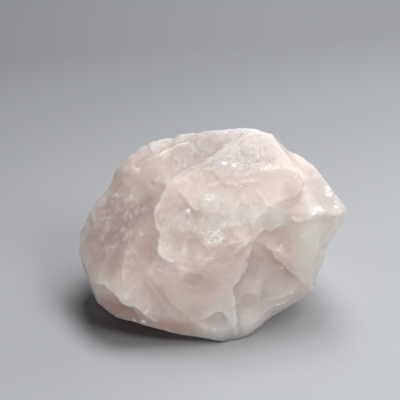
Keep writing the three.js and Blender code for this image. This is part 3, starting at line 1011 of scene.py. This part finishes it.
@dataclass
class Stone:
    """The stone: its broken masses, the ledges on them, and the relief of the broken skin.

    The voxel and the weld are in metres, crease angles in degrees, and the heights that mark the
    foot, the ridges and the hollows in millimetres.
    """

    name: str = "rough_stone"
    weld: float = 1e-7
    crease_from: float = 16.0
    crease_full: float = 34.0
    levels: int = 1
    voxel: float = 0.18 * MM
    most_triangles: int = 190_000
    eased_normals: int = 12
    foot_kept: float = 0.25
    foot_fade: float = 0.8
    ridge_spread: int = 10
    ridge_from: float = 0.02
    hollow_from: float = 0.015
    ridge_full: float = 0.08
    spark_anywhere: float = 0.1
    relief: BrokenSurface = field(default_factory=BrokenSurface)
    strays: StrayLedges = field(default_factory=StrayLedges)
    low: np.ndarray = field(default_factory=lambda: np.zeros(3))
    high: np.ndarray = field(default_factory=lambda: np.zeros(3))
    blots: Specks = Specks(30, (0.7, 1.7), (0.3, 0.7), 5)
    # sparks: spots strewn mostly along the ridges, painted into the white splinters as glints
    sparks: Specks = Specks(90, (0.5, 1.3), (0.5, 1.0), 8)

    def merged(self) -> bpy.types.Object:
        """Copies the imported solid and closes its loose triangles.

        Returns:
            An object with one closed mesh, creased along the ridges.
        """
        mesh = bpy.data.objects[NODE].data.copy()
        mesh.materials.clear()
        work = bmesh.new()
        work.from_mesh(mesh)
        bmesh.ops.remove_doubles(work, verts=work.verts, dist=self.weld)
        crease = work.edges.layers.float.new("crease_edge")
        for edge in work.edges:
            angle = math.degrees(edge.calc_face_angle(0.0))
            share = (angle - self.crease_from) / (self.crease_full - self.crease_from)
            edge[crease] = min(max(share, 0.0), 1.0)
        corners = np.array([point.co for point in work.verts]) / MM
        self.low, self.high = corners.min(0), corners.max(0)
        work.to_mesh(mesh)
        work.free()
        piece = bpy.data.objects.new(self.name, mesh)
        bpy.context.collection.objects.link(piece)
        return piece

    def baked(self, piece: bpy.types.Object) -> None:
        """Turns a piece's modifiers into its mesh."""
        graph = bpy.context.evaluated_depsgraph_get()
        mesh = bpy.data.meshes.new_from_object(piece.evaluated_get(graph))
        piece.modifiers.clear()
        piece.data = mesh
        mesh.name = self.name

    def fill(self, piece: bpy.types.Object) -> None:
        """Rounds the faces between the ridges, and spreads points evenly over them."""
        smooth = piece.modifiers.new("skin", "SUBSURF")
        smooth.levels = self.levels
        smooth.render_levels = self.levels
        even = piece.modifiers.new("even", "REMESH")
        even.mode = "VOXEL"
        even.voxel_size = self.voxel
        even.use_smooth_shade = True
        self.baked(piece)

    def carve(self, piece: bpy.types.Object) -> None:
        """Carves the ledges and hollows, marks the regions, and marks the painted highlights along the ledges
        and the painted shade below them.
        """
        skin = Skin(piece.data)
        skin.normal = skin.averaged(skin.normal, self.eased_normals)
        skin.normal /= np.linalg.norm(skin.normal, axis=1)[:, None]
        free = eased((skin.at[:, 2] - self.foot_kept) / self.foot_fade)
        painted_highlights = np.zeros(len(skin.at))
        painted_shades = np.zeros(len(skin.at))
        ledges = list(LEDGES) + self.strays.make(skin)
        shift = sum(ledge.shift(skin, painted_highlights, painted_shades) for ledge in ledges)
        shift = shift + sum(dent.shift(skin) for dent in DENTS)
        # rim: the ledges' painted highlights, with the real whitish spots of the grain blots
        skin.store("rim", np.maximum(painted_highlights, self.blots.share(skin, regions(skin, GRAINS))))
        # painted shade on the ground below the ledges
        skin.store("painted_shade", painted_shades)
        skin.store("hackle", regions(skin, HACKLE))
        skin.store("grain_zone", regions(skin, GRAINS))
        skin.store("striae", regions(skin, STRIAE))
        skin.store("free", free)
        skin.move(shift * free)
        skin.at += sum(nudge.shift(skin) for nudge in NUDGES)
        skin.write()

    def finish_mesh(self, piece: bpy.types.Object) -> None:
        """Thins the mesh where it is flat, and marks on what is left the ridges for painted highlights, the
        hollows for painted shade, and the tints.
        """
        triangles = sum(len(face.vertices) - 2 for face in piece.data.polygons)
        if triangles > self.most_triangles:
            thin = piece.modifiers.new("thin", "DECIMATE")
            thin.ratio = self.most_triangles / triangles
            self.baked(piece)
        skin = Skin(piece.data)
        # edge and hollow: how far a point stands proud or sinks, for painted highlights on ridges and painted
        # shade in hollows
        rise = ((skin.at - skin.averaged(skin.at, self.ridge_spread)) * skin.normal).sum(1)
        edge = skin.averaged(np.clip((rise - self.ridge_from) / self.ridge_full, 0.0, 1.0), 1)
        hollow = skin.averaged(np.clip((-rise - self.hollow_from) / self.ridge_full, 0.0, 1.0), 1)
        skin.store("edge", edge)
        skin.store("hollow", hollow)
        for name, patches in (("milk", MILK), ("mauve_and_shade", MAUVE_AND_SHADE), ("painted_upper_shade", PAINTED_UPPER_SHADE), ("painted_lip_shade", PAINTED_LIP_SHADE)):
            skin.store(name, regions(skin, patches))
        # white splinters and painted glints, in the listed spots and strewn along the ridges
        sparks = self.sparks.share(skin, edge + self.spark_anywhere)
        skin.store("flake_and_glint", np.maximum(regions(skin, FLAKES_AND_GLINTS), sparks))
        skin.at = np.clip(skin.at, self.low, self.high)
        skin.write()
        for face in piece.data.polygons:
            face.use_smooth = True

    def build(self, finish: MilkyStone) -> bpy.types.Object:
        """Builds the stone.

        Args:
            finish: The finish that it is given.

        Returns:
            The finished piece.
        """
        piece = self.merged()
        self.fill(piece)
        self.carve(piece)
        self.relief.put_on(piece, finish.make())
        self.baked(piece)
        self.finish_mesh(piece)
        return piece

    def dress(self, piece: bpy.types.Object) -> None:
        """Gives the stone its place in the frame."""
        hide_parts(NODE)
        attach(piece, "root")


@dataclass(frozen=True)
class PaleFloor:
    """Finish of the studio floor: matt paper, pale in front and darker grey towards the back, a painted
    fall-off of the light.
    """

    name: str = "pale_floor"
    near: tuple[float, float, float, float] = (0.665, 0.682, 0.707, 1.0)
    far: tuple[float, float, float, float] = (0.305, 0.313, 0.33, 1.0)
    near_end: float = -0.045
    far_end: float = 0.125
    sideways: float = -0.15
    roughness: float = 0.9
    specular: float = 0.1

    def make(self) -> bpy.types.Material:
        """Makes the material.

        Returns:
            The finished material.
        """
        material = bpy.data.materials.new(self.name)
        material.use_nodes = True
        tree = Tree(material.node_tree)
        shader = material.node_tree.nodes["Principled BSDF"]
        place = tree.add("ShaderNodeTexCoord").outputs["Object"]
        depth = tree.vector("DOT_PRODUCT", place, (self.sideways, 1.0, 0.0)).outputs["Value"]
        # painted fall-off of the light: darker towards the back
        share = tree.ramp(depth, self.near_end, self.far_end, smooth=False)
        tree.join(blend(tree, share, self.near, self.far), shader.inputs["Base Color"])
        shader.inputs["Roughness"].default_value = self.roughness
        shader.inputs["Specular IOR Level"].default_value = self.specular
        return material


@dataclass(frozen=True)
class SoftLamp:
    """One soft white lamp, by its place and size in metres and its power in watts."""

    name: str
    place: Point
    power: float
    aim: Point = (0.0, 0.0, 0.01)
    size: float = 0.2

    def make(self) -> bpy.types.Object:
        """Makes the lamp.

        Returns:
            The lamp, turned to its aim.
        """
        data = bpy.data.lights.new(self.name, "AREA")
        data.shape = "DISK"
        data.size = self.size
        data.energy = self.power
        lamp = bpy.data.objects.new(self.name, data)
        lamp.location = self.place
        lamp.rotation_euler = (Vector(self.aim) - Vector(self.place)).to_track_quat("-Z", "Y").to_euler()
        bpy.context.collection.objects.link(lamp)
        return lamp


@dataclass
class Studio:
    """Floor, lamps and camera. Lengths are in metres, but the lens and sensor in millimetres.

    The camera is turned down by an angle, stands off from the foot by a distance along its view,
    and is then shifted aside and up across its view.
    """

    floor_half: float = 1.5
    camera_down: float = 34.0
    camera_distance: float = 0.257
    camera_aside: float = -0.0028915
    camera_up: float = 0.0201247
    camera_range: tuple[float, float] = (0.01, 10.0)
    lens: float = 100.0
    sensor: float = 36.0
    ambient: float = 0.045
    ambient_colour: tuple[float, float, float, float] = (0.96, 0.98, 1.0, 1.0)
    lamps: tuple[SoftLamp, ...] = (
        SoftLamp("back", (0.02, 0.21, 0.35), 0.80),
        SoftLamp("right back", (0.15, 0.15, 0.35), 0.44),
        SoftLamp("low right back", (0.245, 0.245, 0.21), 0.22),
        SoftLamp("right", (0.27, -0.10, 0.29), 0.42),
        SoftLamp("front", (0.04, -0.25, 0.34), 0.77),
    )

    def floor(self) -> bpy.types.Object:
        """Lays the floor under the stone.

        Returns:
            The floor.
        """
        half = self.floor_half
        mesh = bpy.data.meshes.new("floor")
        corners = [(-half, -half, 0.0), (half, -half, 0.0), (half, half, 0.0), (-half, half, 0.0)]
        mesh.from_pydata(corners, [], [(0, 1, 2, 3)])
        mesh.materials.append(PaleFloor().make())
        piece = bpy.data.objects.new("floor", mesh)
        bpy.context.collection.objects.link(piece)
        return piece

    def shade(self, lamp: bpy.types.Object, floor: bpy.types.Object) -> None:
        """Keeps the front lamp's light off the floor, so the shadow at the stone's foot stays deep."""
        kept_off = bpy.data.collections.new("kept off")
        kept_off.objects.link(floor)
        kept_off.collection_objects[0].light_linking.link_state = "EXCLUDE"
        lamp.light_linking.receiver_collection = kept_off

    def sky(self) -> None:
        """Sets the even light of the room."""
        world = bpy.data.worlds.new("room")
        world.use_nodes = True
        shade = world.node_tree.nodes["Background"]
        shade.inputs["Color"].default_value = self.ambient_colour
        shade.inputs["Strength"].default_value = self.ambient
        bpy.context.scene.world = world

    def camera(self) -> bpy.types.Object:
        """Places the camera.

        Returns:
            The camera.
        """
        data = bpy.data.cameras.new("camera")
        data.lens = self.lens
        data.sensor_width = self.sensor
        data.clip_start, data.clip_end = self.camera_range
        down = math.radians(self.camera_down)
        back = Vector((0.0, -math.cos(down), math.sin(down)))
        up = Vector((0.0, math.sin(down), math.cos(down)))
        camera = bpy.data.objects.new("camera", data)
        camera.location = back * self.camera_distance + up * self.camera_up
        camera.location.x = self.camera_aside
        camera.rotation_euler = (math.pi / 2.0 - down, 0.0, 0.0)
        bpy.context.collection.objects.link(camera)
        bpy.context.scene.camera = camera
        return camera

    def build(self) -> None:
        """Sets up the whole studio."""
        floor = self.floor()
        self.sky()
        lamps = [lamp.make() for lamp in self.lamps]
        self.shade(lamps[-1], floor)
        self.camera()
        bpy.context.scene.view_settings.view_transform = "Standard"


def main() -> None:
    """Builds the stone and the studio, and logs the stone's face count."""
    logging.basicConfig(level=logging.INFO, format="%(name)s: %(message)s")
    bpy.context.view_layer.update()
    stone = Stone()
    piece = stone.build(MilkyStone())
    stone.dress(piece)
    LOG.info("%s: %d faces", piece.name, len(piece.data.polygons))
    Studio().build()


if __name__ == "__main__":
    main()
